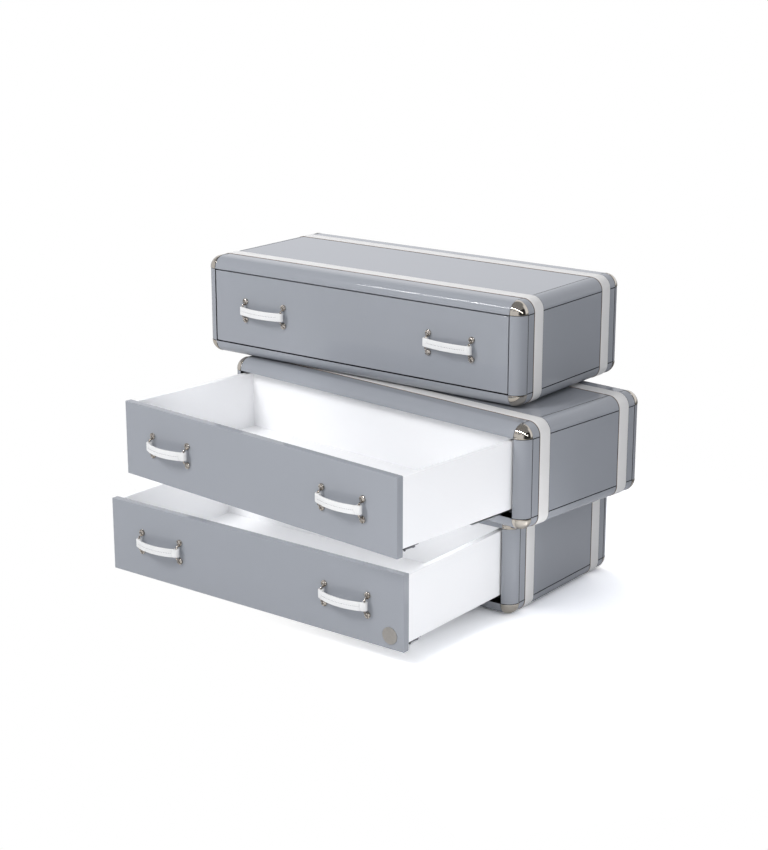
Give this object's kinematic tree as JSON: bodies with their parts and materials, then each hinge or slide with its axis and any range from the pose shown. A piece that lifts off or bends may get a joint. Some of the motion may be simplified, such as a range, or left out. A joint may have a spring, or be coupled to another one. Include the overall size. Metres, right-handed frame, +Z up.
{
  "type": "chest on chest",
  "caption": "Stack of wide trunk-style chests set askew, each a rounded lacquered case with corner caps, leather bands and a pull-out drawer with bowed leather handles.",
  "frame": {"origin": "middle of the lower face of the floor glide under the centre of the lowest case", "axes": "+X along the cases' long side to the right seen from the front, +Z up; the drawers pull out towards -Y, those of the middle case turned 6 degrees towards -X"},
  "size_m": [1.2502, 1.0888, 0.8666],
  "materials": {
    "case_lacquer": "gloss",
    "moulding_lacquer": "gloss",
    "front_lacquer": "gloss",
    "white_lacquer": "satin",
    "batten_wood": "matte",
    "polished_nickel": "polished",
    "handle_nickel": "polished",
    "badge_nickel": "brushed",
    "strap_leather": "satin",
    "grip_leather": "satin",
    "zinc_steel": "satin",
    "dark_plastic": "matte",
    "lever_plastic": "matte",
    "glide_rubber": "matte"
  },
  "bodies": {
    "cases": {"lower_top_panel": "case_lacquer", "lower_bottom_panel": "case_lacquer", "lower_side_panels": "case_lacquer", "lower_back_panel": "case_lacquer", "lower_edge_mouldings": "moulding_lacquer", "lower_corner_caps": "polished_nickel", "lower_straps": "strap_leather", "middle_top_panel": "case_lacquer", "middle_bottom_panel": "case_lacquer", "middle_side_panels": "case_lacquer", "middle_back_panel": "case_lacquer", "middle_edge_mouldings": "moulding_lacquer", "middle_corner_caps": "polished_nickel", "middle_straps": "strap_leather", "upper_top_panel": "case_lacquer", "upper_bottom_panel": "case_lacquer", "upper_side_panels": "case_lacquer", "upper_back_panel": "case_lacquer", "upper_edge_mouldings": "moulding_lacquer", "upper_corner_caps": "polished_nickel", "upper_straps": "strap_leather", "runner_battens": "batten_wood", "cabinet_runners": "zinc_steel", "glides_and_pads": "glide_rubber", "stack_bolts": "zinc_steel"},
    "lower_drawer": {"lower_drawer_runners": "zinc_steel", "lower_drawer_locks": "dark_plastic", "lower_drawer_front": "front_lacquer", "lower_drawer_sides": "white_lacquer", "lower_drawer_back": "white_lacquer", "lower_drawer_bottom": "white_lacquer", "lower_handle_grips": "grip_leather", "lower_handle_brackets": "handle_nickel", "lower_handle_screws": "handle_nickel", "badge": "badge_nickel"},
    "lower_runner": {"lower_middle_runners": "zinc_steel"},
    "lower_levers": {"lower_release_levers": "lever_plastic"},
    "middle_drawer": {"middle_drawer_runners": "zinc_steel", "middle_drawer_locks": "dark_plastic", "middle_drawer_front": "front_lacquer", "middle_drawer_sides": "white_lacquer", "middle_drawer_back": "white_lacquer", "middle_drawer_bottom": "white_lacquer", "middle_handle_grips": "grip_leather", "middle_handle_brackets": "handle_nickel", "middle_handle_screws": "handle_nickel"},
    "middle_runner": {"middle_middle_runners": "zinc_steel"},
    "middle_levers": {"middle_release_levers": "lever_plastic"},
    "upper_drawer": {"upper_drawer_runners": "zinc_steel", "upper_drawer_locks": "dark_plastic", "upper_drawer_front": "front_lacquer", "upper_drawer_sides": "white_lacquer", "upper_drawer_back": "white_lacquer", "upper_drawer_bottom": "white_lacquer", "upper_handle_grips": "grip_leather", "upper_handle_brackets": "handle_nickel", "upper_handle_screws": "handle_nickel"},
    "upper_runner": {"upper_middle_runners": "zinc_steel"},
    "upper_levers": {"upper_release_levers": "lever_plastic"}
  },
  "joints": [
    {"name": "lower_drawer_slide", "type": "slide", "parent": "cases", "child": "lower_drawer", "axis": [0, -1, 0], "range_m": [-0.435, 0.015]},
    {"name": "lower_runner_slide", "type": "slide", "parent": "cases", "child": "lower_runner", "axis": [0, -1, 0], "range_m": [-0.2175, 0.0075]},
    {"name": "lower_release_lever_hinge", "type": "hinge", "parent": "lower_drawer", "child": "lower_levers", "pos_m": [0, -0.6595, 0.0555], "axis": [-1, 0, 0], "range_deg": [0, 15], "stiffness_Nm_per_rad": 0.02, "springref_deg": -17.19},
    {"name": "middle_drawer_slide", "type": "slide", "parent": "cases", "child": "middle_drawer", "axis": [-0.1045, -0.9945, 0], "range_m": [-0.435, 0.015]},
    {"name": "middle_runner_slide", "type": "slide", "parent": "cases", "child": "middle_runner", "axis": [-0.1045, -0.9945, 0], "range_m": [-0.2175, 0.0075]},
    {"name": "middle_release_lever_hinge", "type": "hinge", "parent": "middle_drawer", "child": "middle_levers", "pos_m": [0.05206, -0.69739, 0.344], "axis": [-0.9945, 0.1045, 0], "range_deg": [0, 15], "stiffness_Nm_per_rad": 0.02, "springref_deg": -17.19},
    {"name": "upper_drawer_slide", "type": "slide", "parent": "cases", "child": "upper_drawer", "axis": [0, -1, 0], "range_m": [0, 0.45]},
    {"name": "upper_runner_slide", "type": "slide", "parent": "cases", "child": "upper_runner", "axis": [0, -1, 0], "range_m": [0, 0.225]},
    {"name": "upper_release_lever_hinge", "type": "hinge", "parent": "upper_drawer", "child": "upper_levers", "pos_m": [-0.007, -0.1965, 0.6325], "axis": [-1, 0, 0], "range_deg": [0, 15], "stiffness_Nm_per_rad": 0.02, "springref_deg": -17.19}
  ],
  "couplings": [
    {"joint": "lower_runner_slide", "follows": "lower_drawer_slide", "ratio": 0.5},
    {"joint": "middle_runner_slide", "follows": "middle_drawer_slide", "ratio": 0.5},
    {"joint": "upper_runner_slide", "follows": "upper_drawer_slide", "ratio": 0.5}
  ]
}
